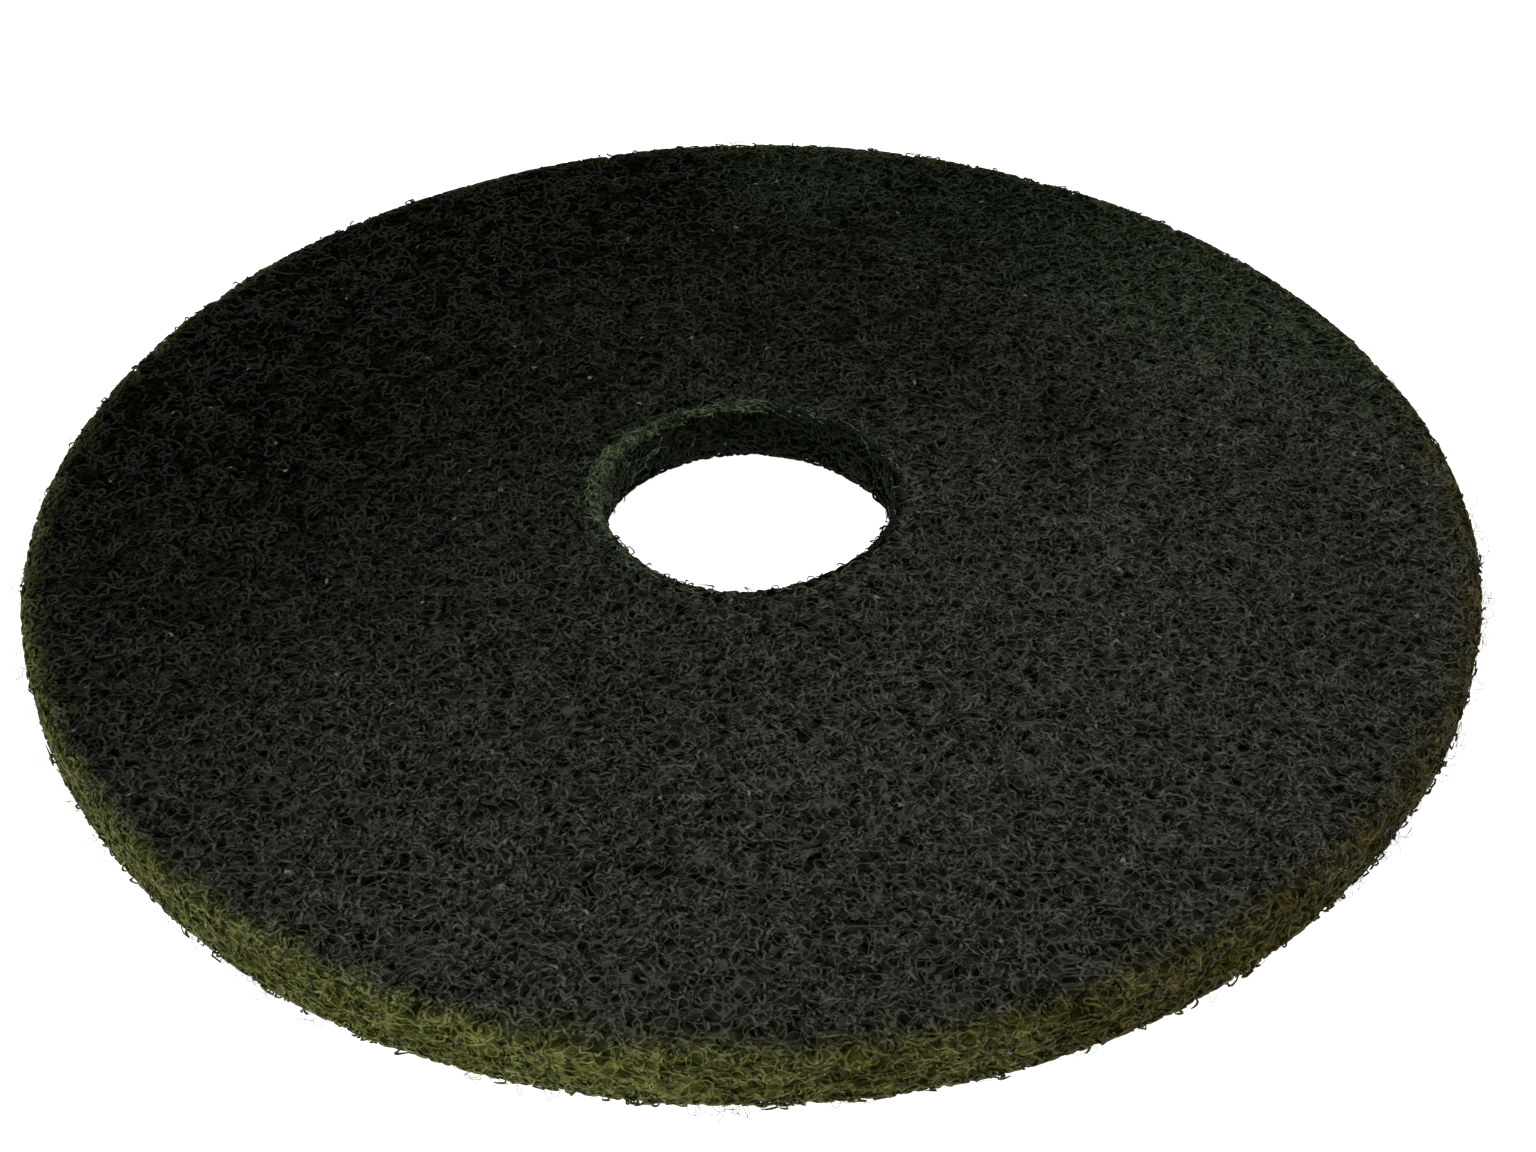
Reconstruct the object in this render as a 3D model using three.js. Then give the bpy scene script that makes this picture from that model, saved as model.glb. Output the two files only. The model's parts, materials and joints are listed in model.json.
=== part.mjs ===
// A round floor polishing pad: one thick disc of lofty nonwoven web with a die-cut centre hole.
// The frame is in millimetres, with +Z up and the origin at the middle of the face that lies down.

import * as THREE from "three";

// Driving dimensions of the disc
const padDiameter = 406;
const padThickness = 19;
const holeDiameter = 82.5;
const rimRounding = 4; // soft corners of the outer edge, above and below
const holeRounding = 2.5; // the same corners around the hole
const holeShiftX = -1.1; // the hole was cut a little off centre
const holeShiftY = 0.4;

// Driving dimensions of the web
const webPitch = 8; // distance from one tuft of the open web to the next
const poreDepth = 0.9; // how far the pores sink below the crests
const hubLandWidth = 12; // band around the hole that the hub of a machine clamps flat
const plyGroove = 0.5; // depth of the furrow between two laid plies on a cut side
const cutRoughness = 0.35; // how far single tufts stand off a cut side

// Slow waves of the two cut outlines, as lobes round the circle, height and phase in radians
const rimWaves = [
  { lobes: 3, height: 0.2, phase: 1.4 },
  { lobes: 4, height: 0.55, phase: -0.2 },
  { lobes: 7, height: 0.35, phase: -1.7 },
];
const holeWaves = [
  { lobes: 3, height: 0.55, phase: 0.9 },
  { lobes: 4, height: 0.35, phase: -0.6 },
];

// Counts
const plyCount = 3;
const roundingSteps = 3;
const holeSegments = 60;
const webSeed = 4127;

const webColour = 0x2a2c26;

// A repeatable stream of numbers from 0 to 1, so that the web comes out the same each time.
function seededStream(seed) {
  let state = seed;
  return () => {
    state = (state + 0x6d2b79f5) | 0;
    let mixed = Math.imul(state ^ (state >>> 15), 1 | state);
    mixed = (mixed + Math.imul(mixed ^ (mixed >>> 7), 61 | mixed)) ^ mixed;
    return ((mixed ^ (mixed >>> 14)) >>> 0) / 4294967296;
  };
}

const nextRandom = seededStream(webSeed);
const spread = (reach) => (2 * nextRandom() - 1) * reach;

function strayAt(angle, waves) {
  return waves.reduce(
    (sum, wave) => sum + wave.height * Math.cos(wave.lobes * angle - wave.phase),
    0,
  );
}

const rimRadiusAt = (angle) => padDiameter / 2 + strayAt(angle, rimWaves);
const holeRadiusAt = (angle) => holeDiameter / 2 + strayAt(angle, holeWaves);

const segmentsFor = (radius) =>
  Math.max(holeSegments, Math.round((2 * Math.PI * radius) / webPitch));

// One closed ring of points. place(angle) gives the point at that angle.
function ringOf(count, place) {
  return Array.from({ length: count }, (_, index) => place((2 * Math.PI * index) / count));
}

const rimPoint = (angle, inset, height) => {
  const radius = rimRadiusAt(angle) - inset;
  return new THREE.Vector3(radius * Math.cos(angle), radius * Math.sin(angle), height);
};

const holePoint = (angle, outset, height) => {
  const radius = holeRadiusAt(angle) + outset;
  return new THREE.Vector3(
    holeShiftX + radius * Math.cos(angle),
    holeShiftY + radius * Math.sin(angle),
    height,
  );
};

// The section of a cut side from its top corner down to its bottom corner, as the depth behind the
// outermost crest and the height. Rounded corners join a wall of plies with a furrow between each two.
function cutSideSection(rounding) {
  const wallTop = padThickness - rounding;
  const plyHeight = (wallTop - rounding) / plyCount;
  const corner = Array.from({ length: roundingSteps }, (_, step) => {
    const turn = (Math.PI / 2) * (step / roundingSteps);
    return { depth: rounding * (1 - Math.sin(turn)), rise: rounding * Math.cos(turn) };
  });
  const upper = corner.map(({ depth, rise }) => ({ depth, height: wallTop + rise }));
  const wall = Array.from({ length: 2 * plyCount + 1 }, (_, index) => ({
    depth: index % 2 === 0 ? plyGroove : 0,
    height: wallTop - (index * plyHeight) / 2,
  }));
  const lower = corner.map(({ depth, rise }) => ({ depth, height: rounding - rise })).reverse();
  return [...upper, ...wall, ...lower];
}

// The tufts of a cut side stray in and out, but its two end rings lie true on the faces.
function cutSideRings(section, count, place) {
  const last = section.length - 1;
  return section.map(({ depth, height }, index) => {
    const stray = index === 0 || index === last ? 0 : cutRoughness;
    return ringOf(count, (angle) => place(angle, Math.max(0, depth + spread(stray)), height));
  });
}

// The rings of the upper face between the flat band at the hole and the rounded rim. The centre and
// the outline pass smoothly from those of the hole to those of the rim.
function webFaceRings() {
  const innerRadius = holeDiameter / 2 + holeRounding + hubLandWidth;
  const outerRadius = padDiameter / 2 - rimRounding;
  const rowSpacing = webPitch * Math.sin(Math.PI / 3);
  const rows = Math.max(2, Math.round((outerRadius - innerRadius) / rowSpacing));
  const rowStep = (outerRadius - innerRadius) / rows;
  const side = 0.2 * webPitch;
  return Array.from({ length: rows - 1 }, (_, index) => {
    const share = (index + 1) / rows;
    const count = segmentsFor(innerRadius + (index + 1) * rowStep);
    return ringOf(count, (angle) => {
      const inner = holePoint(angle, holeRounding + hubLandWidth, padThickness);
      const outer = rimPoint(angle, rimRounding, padThickness);
      const point = inner.lerp(outer, share);
      return point.add(new THREE.Vector3(spread(side), spread(side), -poreDepth * nextRandom()));
    });
  });
}

// Joins two neighbouring rings by a band of triangles that keeps step round the circle.
function bandBetween(first, second) {
  const triangles = [];
  let a = 0;
  let b = 0;
  while (a < first.length || b < second.length) {
    const here = first[a % first.length];
    const there = second[b % second.length];
    const moveFirst = (a + 1) * second.length <= (b + 1) * first.length;
    if (moveFirst) {
      a += 1;
      triangles.push(here, there, first[a % first.length]);
    } else {
      b += 1;
      triangles.push(here, there, second[b % second.length]);
    }
  }
  return triangles;
}

// Makes the closed skin of a body whose rings follow its section once round, back to the first.
function skinOfRings(rings) {
  const points = rings.flat();
  let start = 0;
  const indexRings = rings.map((ring) => {
    const indices = ring.map((_, index) => start + index);
    start += ring.length;
    return indices;
  });
  const triangles = indexRings.flatMap((ring, index) =>
    bandBetween(ring, indexRings[(index + 1) % indexRings.length]),
  );
  const geometry = new THREE.BufferGeometry().setFromPoints(points);
  geometry.setIndex(triangles);
  geometry.computeVertexNormals();
  return geometry;
}

function makePad() {
  const rimCount = segmentsFor(padDiameter / 2);
  const hubLandEdge = ringOf(holeSegments, (angle) =>
    holePoint(angle, holeRounding + hubLandWidth, padThickness),
  );
  const rimRings = cutSideRings(cutSideSection(rimRounding), rimCount, rimPoint);
  const holeSection = cutSideSection(holeRounding).reverse();
  const holeRings = cutSideRings(holeSection, holeSegments, holePoint);
  const geometry = skinOfRings([hubLandEdge, ...webFaceRings(), ...rimRings, ...holeRings]);
  const material = new THREE.MeshStandardMaterial({
    color: webColour,
    roughness: 0.9,
    metalness: 0,
    flatShading: true,
  });
  const mesh = new THREE.Mesh(geometry, material);
  mesh.name = "pad";
  return mesh;
}

const floorPad = new THREE.Group();
floorPad.add(makePad());

export default floorPad;
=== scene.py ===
"""Dresses a round floor polishing pad: open nonwoven web in charcoal, with an olive cut side.

The web is built as the real one is made. A dark core stands for the dense inner strands, and loose
crimped strands lie over it on both faces, round the cut side and round the wall of the hole.
All sizes are in metres unless a name says otherwise.
"""

import json
import logging
import math
from abc import ABC, abstractmethod
from dataclasses import dataclass, replace
from enum import Enum
from functools import partial

import bpy
import numpy as np
from bpy.types import Material, Node, NodeSocket, NodeTree, Object
from mathutils import Matrix, Vector


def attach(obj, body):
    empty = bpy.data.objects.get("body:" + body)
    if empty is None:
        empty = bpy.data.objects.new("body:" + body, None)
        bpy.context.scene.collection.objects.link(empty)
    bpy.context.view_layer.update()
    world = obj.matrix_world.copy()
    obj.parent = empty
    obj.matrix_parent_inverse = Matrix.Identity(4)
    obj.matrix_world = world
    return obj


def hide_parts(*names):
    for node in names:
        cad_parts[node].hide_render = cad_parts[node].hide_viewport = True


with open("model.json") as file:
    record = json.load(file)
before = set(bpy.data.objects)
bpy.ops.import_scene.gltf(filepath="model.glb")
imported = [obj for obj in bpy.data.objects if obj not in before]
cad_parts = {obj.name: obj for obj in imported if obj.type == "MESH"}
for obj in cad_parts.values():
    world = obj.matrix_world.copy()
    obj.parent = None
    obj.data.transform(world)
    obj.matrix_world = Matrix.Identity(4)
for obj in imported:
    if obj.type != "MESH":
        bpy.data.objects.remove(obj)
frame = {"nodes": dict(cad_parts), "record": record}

Triple = tuple[float, float, float]

log = logging.getLogger("floor_pad")

MM = 0.001
BODY = "root"
PAD_NODE = "pad"
CHARCOAL_SLOT = "charcoal_web"
OLIVE_SLOT = "olive_cut_side"

# Places of the colour sockets on a mix node.
MIX_FIRST = 6
MIX_SECOND = 7
MIX_RESULT = 2

# The value that a noise texture strays round.
NOISE_MIDDLE = 0.5
# Added to a length before a division, so that it is never zero.
TINY = 1e-12


class Face(Enum):
    """The two faces of the pad."""

    UPPER = "upper"
    UNDER = "under"


class Edge(Enum):
    """The two cut sides of the pad."""

    RIM = "rim"
    HOLE = "hole"


def linear_colour(hex_value: str) -> tuple[float, float, float, float]:
    """Turns an sRGB hex value into a linear colour.

    Args:
        hex_value: Six hex digits, red first.

    Returns:
        Red, green, blue and an alpha of 1.
    """
    shares = [int(hex_value[start : start + 2], 16) / 255 for start in (0, 2, 4)]
    red, green, blue = (
        share / 12.92 if share <= 0.04045 else ((share + 0.055) / 1.055) ** 2.4 for share in shares
    )
    return red, green, blue, 1.0


def add_node(
    tree: NodeTree,
    kind: str,
    inputs: dict[str | int, object] | None = None,
    **settings: object,
) -> Node:
    """Adds one node to a tree, with its links and settings.

    Args:
        tree: The node tree.
        kind: The node's type name.
        inputs: For each input, by name or place, a value, an output socket, or a node whose first
            output is meant.
        settings: The node's other properties.

    Returns:
        The new node.
    """
    node = tree.nodes.new(kind)
    for name, value in settings.items():
        setattr(node, name, value)
    for socket, value in (inputs or {}).items():
        source = value.outputs[0] if isinstance(value, Node) else value
        if isinstance(source, NodeSocket):
            tree.links.new(source, node.inputs[socket])
        else:
            node.inputs[socket].default_value = source
    return node


def new_material(name: str) -> tuple[Material, NodeTree]:
    """Makes a material with an empty node tree.

    Args:
        name: Name of the material.

    Returns:
        The material and its tree.
    """
    material = bpy.data.materials.new(name)
    material.use_nodes = True
    material.node_tree.nodes.clear()
    return material, material.node_tree


@dataclass(frozen=True)
class PadForm:
    """The pad's outline and section, read from its CAD solid.

    A spot on the skin is given by its reach and its angle. Reach is the distance from the centre line
    along the skin: over the flat face, then round a rounded shoulder, down the cut wall and back under.
    """

    thickness: float
    rim_radii: np.ndarray
    hole_radii: np.ndarray
    hole_centre: np.ndarray
    rim_rounding: float = 4 * MM
    hole_rounding: float = 2.5 * MM

    @classmethod
    def from_frame(cls) -> "PadForm":
        """Reads the two outlines from the CAD node and the hole's centre from its stated opening.

        Returns:
            The pad's form.
        """
        node = frame["nodes"][PAD_NODE]
        spots = np.empty(len(node.data.vertices) * 3)
        node.data.vertices.foreach_get("co", spots)
        spots = spots.reshape(-1, 3)
        opening = frame["record"]["physics"]["openings"][0]["box_m"]
        hole_centre = (np.array(opening[0][:2]) + np.array(opening[1][:2])) / 2
        return cls(
            thickness=float(spots[:, 2].max() - spots[:, 2].min()),
            rim_radii=cls._outline(spots[:, :2], np.max),
            hole_radii=cls._outline(spots[:, :2] - hole_centre, np.min),
            hole_centre=hole_centre,
        )

    @staticmethod
    def _outline(spots: np.ndarray, furthest: object, sectors: int = 40) -> np.ndarray:
        """Finds the outline's radius in equal sectors round the circle.

        Args:
            spots: Plan positions of the solid's corners, about the outline's centre.
            furthest: np.max for an outer outline, np.min for a hole.
            sectors: How many sectors.

        Returns:
            One radius for each sector's middle, beginning at angle 0.
        """
        radius = np.hypot(spots[:, 0], spots[:, 1])
        angle = np.arctan2(spots[:, 1], spots[:, 0]) % (2 * np.pi)
        sector = np.round(angle / (2 * np.pi) * sectors).astype(int) % sectors
        return np.array([furthest(radius[sector == index]) for index in range(sectors)])

    @staticmethod
    def _radius_at(radii: np.ndarray, angle: np.ndarray) -> np.ndarray:
        """Blends an outline's sector radii smoothly for any angle."""
        middles = np.arange(len(radii)) * (2 * np.pi / len(radii))
        return np.interp(angle, middles, radii, period=2 * np.pi)

    def radius(self, edge: Edge) -> float:
        """Mean radius of a cut side."""
        return float((self.rim_radii if edge is Edge.RIM else self.hole_radii).mean())

    def rounding(self, edge: Edge) -> float:
        """Radius of the shoulders of a cut side."""
        return self.rim_rounding if edge is Edge.RIM else self.hole_rounding

    def shoulder(self, edge: Edge, angle: np.ndarray) -> np.ndarray:
        """Finds where the flat face ends and the shoulder of a cut side begins.

        Args:
            edge: The cut side.
            angle: Angles round the centre line.

        Returns:
            The reach at each angle.
        """
        if edge is Edge.RIM:
            return self._radius_at(self.rim_radii, angle) - self.rim_rounding
        return self._radius_at(self.hole_radii, angle) + self.hole_rounding

    def reach_past(self, edge: Edge, angle: np.ndarray, past: np.ndarray) -> np.ndarray:
        """Reach of spots that lie past the edge of the flat face by a distance along the skin."""
        start = self.shoulder(edge, angle)
        return start + past if edge is Edge.RIM else start - past

    def side_length(self, edge: Edge) -> float:
        """Length of a cut side along the skin, from face to face, with its two shoulders."""
        rounding = self.rounding(edge)
        return math.pi * rounding + self.thickness - 2 * rounding

    def _fold(self, past: np.ndarray, rounding: float) -> tuple[np.ndarray, np.ndarray, np.ndarray]:
        """Follows the skin from the edge of a face round a cut side.

        Args:
            past: Distance along the skin past the edge of the flat face.
            rounding: Radius of the two shoulders.

        Returns:
            How far the skin has moved out, how far it has dropped, and how far its normal has turned.
        """
        quarter = math.pi / 2 * rounding
        wall = self.thickness - 2 * rounding
        first = np.clip(past / rounding, 0, math.pi / 2)
        straight = np.clip(past - quarter, 0, wall)
        second = np.clip((past - quarter - wall) / rounding, 0, math.pi / 2)
        beyond = np.maximum(past - 2 * quarter - wall, 0)
        out = rounding * np.sin(first) - rounding * (1 - np.cos(second)) - beyond
        drop = rounding * (1 - np.cos(first)) + straight + rounding * np.sin(second)
        return out, drop, first + second

    def place(
        self, reach: np.ndarray, angle: np.ndarray, depth: np.ndarray, face: Face = Face.UPPER
    ) -> tuple[np.ndarray, np.ndarray]:
        """Finds where spots of the skin lie on the pad.

        Args:
            reach: Distances from the centre line along the skin.
            angle: Angles round the centre line.
            depth: How far below the skin the spots lie.
            face: The face that the reach is counted over.

        Returns:
            The points and the skin's outward normals there.
        """
        rim_start = self.shoulder(Edge.RIM, angle)
        hole_start = self.shoulder(Edge.HOLE, angle)
        rim_out, rim_drop, rim_turn = self._fold(reach - rim_start, self.rim_rounding)
        hole_out, hole_drop, hole_turn = self._fold(hole_start - reach, self.hole_rounding)
        radius = np.clip(reach, hole_start, rim_start) + rim_out - hole_out
        height = self.thickness - rim_drop - hole_drop
        lean = np.sin(rim_turn) - np.sin(hole_turn)
        rise = np.cos(rim_turn) * np.cos(hole_turn)
        if face is Face.UNDER:
            height = self.thickness - height
            rise = -rise
        share = np.clip((rim_start - radius) / (rim_start - hole_start), 0, 1)
        centre = share[..., None] * self.hole_centre
        radial = np.stack([np.cos(angle), np.sin(angle)], axis=-1)
        normals = np.concatenate([lean[..., None] * radial, rise[..., None]], axis=-1)
        points = np.concatenate([centre + radius[..., None] * radial, height[..., None]], axis=-1)
        return points - depth[..., None] * normals, normals


class SoftNoise:
    """A smooth uneven field in space, made of waves in random directions."""

    def __init__(self, seed: int, wavelengths: tuple[float, float], waves: int = 28) -> None:
        """Draws the waves.

        Args:
            seed: Seed of the random draws.
            wavelengths: Shortest and longest wavelength.
            waves: How many waves are summed.
        """
        rng = np.random.default_rng(seed)
        directions = rng.normal(size=(waves, 3))
        directions /= np.linalg.norm(directions, axis=1)[:, None]
        lengths = rng.uniform(*wavelengths, size=waves)
        self._waves = directions * (2 * np.pi / lengths)[:, None]
        self._phases = rng.uniform(0, 2 * np.pi, size=waves)

    def at(self, points: np.ndarray) -> np.ndarray:
        """Value at each point, around 0 and mostly within 1 either way."""
        total = np.sin(points @ self._waves.T + self._phases).sum(axis=-1)
        return total / math.sqrt(len(self._phases))


@dataclass(frozen=True)
class ShadePair:
    """The dark and the light shade of one colour, as sRGB hex values."""

    dark: str
    light: str

    def mixed(self, tree: NodeTree, shade: NodeSocket) -> NodeSocket:
        """Gives the colour between the two shades.

        Args:
            tree: The node tree of the material.
            shade: The shade at each place, from 0, dark, to 1, light.

        Returns:
            The colour at each place.
        """
        inputs = {
            "Factor": shade,
            MIX_FIRST: linear_colour(self.dark),
            MIX_SECOND: linear_colour(self.light),
        }
        return add_node(tree, "ShaderNodeMix", inputs, data_type="RGBA").outputs[MIX_RESULT]


@dataclass(frozen=True)
class CoatAndLightBlot:
    """A soft round spot where the top coat, with the painted light and shade laid in it, is thicker or
    thinner than round it, in millimetres.

    The shift says by how far the spot looks moved along the way in which the coat thins and the painted
    light rises.
    """

    x: float
    y: float
    radius: float
    shift: float


# Blots of the top coat, which also carry painted light and shade.
COAT_AND_LIGHT_BLOTS = (
    CoatAndLightBlot(x=50, y=72, radius=62, shift=-48),
    CoatAndLightBlot(x=94, y=28, radius=46, shift=-95),
    CoatAndLightBlot(x=4, y=92, radius=30, shift=-30),
    CoatAndLightBlot(x=-128, y=18, radius=60, shift=-45),
    CoatAndLightBlot(x=-136, y=-46, radius=50, shift=-40),
    CoatAndLightBlot(x=150, y=-18, radius=60, shift=-80),
    CoatAndLightBlot(x=172, y=-62, radius=50, shift=-160),
    CoatAndLightBlot(x=18, y=182, radius=52, shift=150),
    CoatAndLightBlot(x=150, y=84, radius=70, shift=110),
    CoatAndLightBlot(x=126, y=146, radius=48, shift=35),
    CoatAndLightBlot(x=0, y=58, radius=28, shift=60),
    CoatAndLightBlot(x=-4, y=124, radius=34, shift=40),
    CoatAndLightBlot(x=-54, y=98, radius=46, shift=50),
    CoatAndLightBlot(x=-100, y=-92, radius=62, shift=30),
    CoatAndLightBlot(x=-80, y=-160, radius=50, shift=80),
    CoatAndLightBlot(x=-46, y=8, radius=26, shift=90),
)


@dataclass
class WebPatterns:
    """The patterns that a material draws by the place on the pad.

    The top coat was sprayed on both faces. It is thin at the front right and thick at the back left,
    with blots, and worn thin along the edge of the hole. Its fall from light to dark towards the back
    left is partly painted light and shade. It ends at the shoulder of the cut side, where the dye of
    the strands shows.
    """

    tree: NodeTree
    form: PadForm
    # The coat thins and the painted light rises towards the front right. Painted shade deepens towards
    # the back left.
    thin_coat_and_lit_side: Triple = (0.65, -0.76, 0.0)
    thick_coat_and_shade_until: float = -165 * MM
    thin_coat_and_lit_from: float = 130 * MM
    cloud_size: float = 32 * MM
    cloud_shift: float = 50 * MM
    hole_worn_until: float = 12 * MM
    hole_worn_shift: float = 70 * MM
    green_side: Triple = (0.45, 0.89, 0.0)
    green_from: float = 60 * MM
    green_full: float = 190 * MM
    green_spot: Triple = (-30 * MM, 38 * MM, 0.0)
    green_spot_radius: float = 100 * MM
    green_spot_share: float = 0.55
    worn_side: Triple = (0.71, -0.71, 0.0)
    worn_shift: float = 2 * MM
    coated_until: float = -4 * MM
    bare_from: float = 8 * MM
    patch_size: float = 8 * MM
    patch_shift: float = 11 * MM
    patch_detail: float = 3.0
    brown_side: Triple = (1.0, 0.0, 0.0)
    brown_from: float = -70 * MM
    brown_full: float = 130 * MM
    brown_patch_size: float = 18 * MM
    brown_patch_shift: float = 130 * MM
    # Band over which the faces turn into the painted shade of the hole's wall.
    hole_shade_band: float = 3 * MM
    hole_shade_full_until: float = 1 * MM
    ridge_size: float = 4 * MM
    ridge_fineness: float = 0.042
    ridge_low: float = 0.1
    ridge_high: float = 0.62
    clump_size: float = 3.4 * MM
    clump_edge: float = 0.11
    clump_share: float = 0.3
    clump_detail: float = 1.0
    shade_size: float = 1.6 * MM
    shade_edge: float = 0.16
    shade_detail: float = 2.0
    fine_share: float = 0.1
    ply_length: float = 26 * MM
    ply_thickness: float = 2.6 * MM
    ply_edge: float = 0.12
    ply_detail: float = 1.0
    # Painted light: the foot of the cut side is kept paler, for light bouncing up from the floor, up to
    # these heights.
    bounce_light_full_until: float = 2 * MM
    bounce_light_gone_from: float = 9 * MM
    thread_offsets: tuple[float, ...] = (0.0, 0.37, 0.81)

    def __post_init__(self) -> None:
        """Finds the place on the pad, which all patterns follow, and its radius and height."""
        self.add = partial(add_node, self.tree)
        self.place = self.add("ShaderNodeTexCoord").outputs["Object"]
        flat = self.add("ShaderNodeVectorMath", {0: self.place, 1: (1, 1, 0)}, operation="MULTIPLY")
        length = self.add("ShaderNodeVectorMath", {0: flat}, operation="LENGTH")
        self.radius = length.outputs["Value"]
        self.height = self.add("ShaderNodeSeparateXYZ", {0: self.place}).outputs["Z"]

    def along(self, direction: Triple) -> NodeSocket:
        """Distance from the pad's centre along a direction."""
        dot = self.add("ShaderNodeVectorMath", {0: self.place, 1: direction}, operation="DOT_PRODUCT")
        return dot.outputs["Value"]

    def distance_from(self, spot: Triple) -> NodeSocket:
        """Distance from a spot of the floor under the pad."""
        distance = self.add("ShaderNodeVectorMath", {0: self.place, 1: spot}, operation="DISTANCE")
        return distance.outputs["Value"]

    def border(
        self,
        distance: NodeSocket | Node,
        low: float,
        high: float,
        patch_size: float,
        patch_shift: float,
    ) -> NodeSocket:
        """Draws a soft border that wanders.

        Args:
            distance: The distance that the border follows.
            low: Distance at which the result is 0.
            high: Distance at which the result is 1.
            patch_size: Size of the patches by which the border wanders.
            patch_shift: How far the border wanders, from its one end to its other.

        Returns:
            0 on one side of the border and 1 on the other.
        """
        inputs = {"Vector": self.place, "Scale": 1 / patch_size, "Detail": self.patch_detail}
        patch = self.add("ShaderNodeTexNoise", inputs)
        inputs = {0: patch, 1: patch_shift, 2: distance}
        uneven = self.add("ShaderNodeMath", inputs, operation="MULTIPLY_ADD")
        middle = patch_shift / 2
        return self.closeness(uneven, low + middle, high + middle, 1.0).outputs[0]

    def closeness(
        self, distance: NodeSocket | Node, far: float, near: float, full: float
    ) -> Node:
        """Rises softly from 0 at the far distance to the full value at the near one."""
        inputs = {"Value": distance, "From Min": far, "From Max": near, "To Max": full}
        return self.add("ShaderNodeMapRange", inputs, interpolation_type="SMOOTHSTEP")

    def spread(self, noise: Node, edge: float) -> NodeSocket:
        """Stretches a noise to run from 0 to 1 where it strays from its middle by up to an edge."""
        inputs = {"Value": noise, "From Min": NOISE_MIDDLE - edge, "From Max": NOISE_MIDDLE + edge}
        return self.add("ShaderNodeMapRange", inputs).outputs[0]

    def coat_thinness_and_painted_light(self) -> NodeSocket:
        """Says how thin the top coat is, with painted light and shade laid in, which fall off towards
        the back left.

        Returns:
            From 0 at the back left to 1 at the front right.
        """
        edge = self.form.radius(Edge.HOLE)
        worn = self.closeness(self.radius, edge + self.hole_worn_until, edge, self.hole_worn_shift)
        inputs = {0: self.along(self.thin_coat_and_lit_side), 1: worn}
        along = self.add("ShaderNodeMath", inputs, operation="ADD")
        for blot in COAT_AND_LIGHT_BLOTS:
            distance = self.distance_from((blot.x * MM, blot.y * MM, 0.0))
            moved = self.closeness(distance, blot.radius * MM, 0.0, blot.shift * MM)
            along = self.add("ShaderNodeMath", {0: along, 1: moved}, operation="ADD")
        return self.border(
            along, self.thick_coat_and_shade_until, self.thin_coat_and_lit_from, self.cloud_size, self.cloud_shift
        )

    def bareness(self) -> NodeSocket:
        """Says how bare of top coat the web is.

        Returns:
            0 on the faces and 1 on the cut side.
        """
        inputs = {0: self.height, 1: self.form.thickness / 2}
        from_middle = self.add("ShaderNodeMath", inputs, operation="SUBTRACT")
        to_middle = self.add("ShaderNodeMath", {0: from_middle}, operation="ABSOLUTE")
        past = self.add("ShaderNodeMath", {0: self.radius, 1: to_middle}, operation="SUBTRACT")
        shift = self.worn_shift / self.form.radius(Edge.RIM)
        inputs = {0: self.along(self.worn_side), 1: shift, 2: past}
        worn = self.add("ShaderNodeMath", inputs, operation="MULTIPLY_ADD")
        shoulder = self.form.radius(Edge.RIM) - self.form.rim_rounding - self.form.thickness / 2
        return self.border(
            worn,
            shoulder + self.coated_until,
            shoulder + self.bare_from,
            self.patch_size,
            self.patch_shift,
        )

    def brownness(self) -> NodeSocket:
        """Says how brown the olive dye looks.

        Returns:
            0 at the left, where the dye is greener, and 1 at the right.
        """
        along = self.along(self.brown_side)
        return self.border(
            along, self.brown_from, self.brown_full, self.brown_patch_size, self.brown_patch_shift
        )

    def plies_and_painted_bounce_light(self) -> NodeSocket:
        """Draws layers that run level round the cut side, as the web was laid, over a foot painted pale
        for the light that bounces up from the floor.

        Returns:
            0 in a light layer and in the foot with its painted bounce light, and 1 in a dark layer.
        """
        size = (1 / self.ply_length, 1 / self.ply_length, 1 / self.ply_thickness)
        laid = self.add("ShaderNodeVectorMath", {0: self.place, 1: size}, operation="MULTIPLY")
        inputs = {"Vector": laid, "Scale": 1.0, "Detail": self.ply_detail}
        layers = self.spread(self.add("ShaderNodeTexNoise", inputs), self.ply_edge)
        # Painted light: the ply darkening is left off the foot, for the light that bounces up from the
        # floor.
        above_bounce_light = self.closeness(self.height, self.bounce_light_full_until, self.bounce_light_gone_from, 1.0)
        return self.add("ShaderNodeMath", {0: layers, 1: above_bounce_light}, operation="MULTIPLY").outputs[0]

    def greenness(self) -> NodeSocket:
        """Says how green the top coat looks.

        Returns:
            1 at the back right, some round the hole, and 0 elsewhere.
        """
        at_back = self.border(
            self.along(self.green_side),
            self.green_from,
            self.green_full,
            self.cloud_size,
            self.cloud_shift,
        )
        distance = self.distance_from(self.green_spot)
        spot = self.closeness(distance, self.green_spot_radius, 0.0, self.green_spot_share)
        return self.add("ShaderNodeMath", {0: at_back, 1: spot}, operation="MAXIMUM").outputs[0]

    def hole_wall_painted_shade_mask(self) -> NodeSocket:
        """Masks the painted shade of the hole's wall, a dark colour for the shade that falls in the
        hole.

        Returns:
            From 0 on the faces to 1 on the wall.
        """
        edge = self.form.radius(Edge.HOLE)
        return self.border(
            self.radius,
            edge + self.hole_shade_band,
            edge + self.hole_shade_full_until,
            self.patch_size,
            self.hole_shade_band,
        )

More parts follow.
